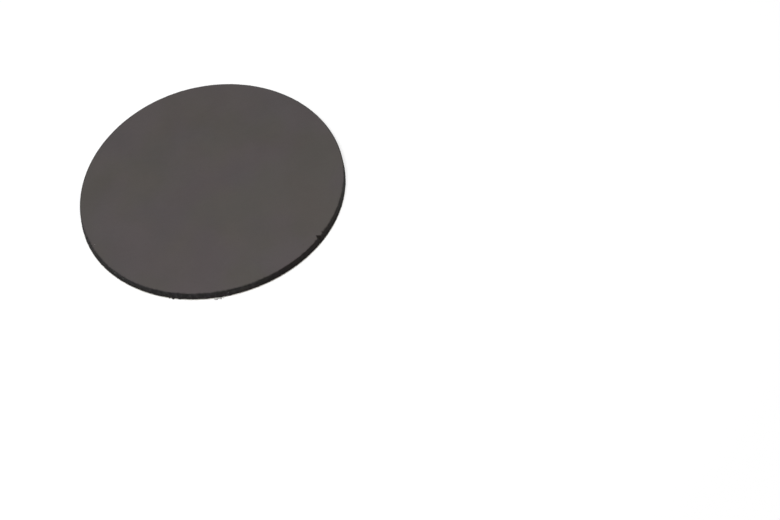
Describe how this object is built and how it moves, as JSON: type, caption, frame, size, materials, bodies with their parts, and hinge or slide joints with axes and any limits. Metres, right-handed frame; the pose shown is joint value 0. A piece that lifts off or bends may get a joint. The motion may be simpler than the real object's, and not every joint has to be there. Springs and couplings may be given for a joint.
{
  "type": "adhesive magnetic disc",
  "caption": "Round disc punched from flexible magnetic rubber sheet, with an adhesive film and a peel-off liner on its back.",
  "frame": {"origin": "centre of the liner's underside, which is the surface that the disc lies on", "axes": "+Z along the disc's axis, from the liner up to the bare magnetic face; -Y is the front, with the nick to the front and right of the centre"},
  "size_m": [0.05, 0.0502, 0.0019],
  "materials": {
    "magnetic_rubber": "satin",
    "adhesive": "gloss",
    "liner_paper": "matte"
  },
  "bodies": {
    "root": {"magnetic_sheet": "magnetic_rubber", "adhesive_film": "adhesive", "release_liner": "liner_paper"}
  },
  "joints": []
}
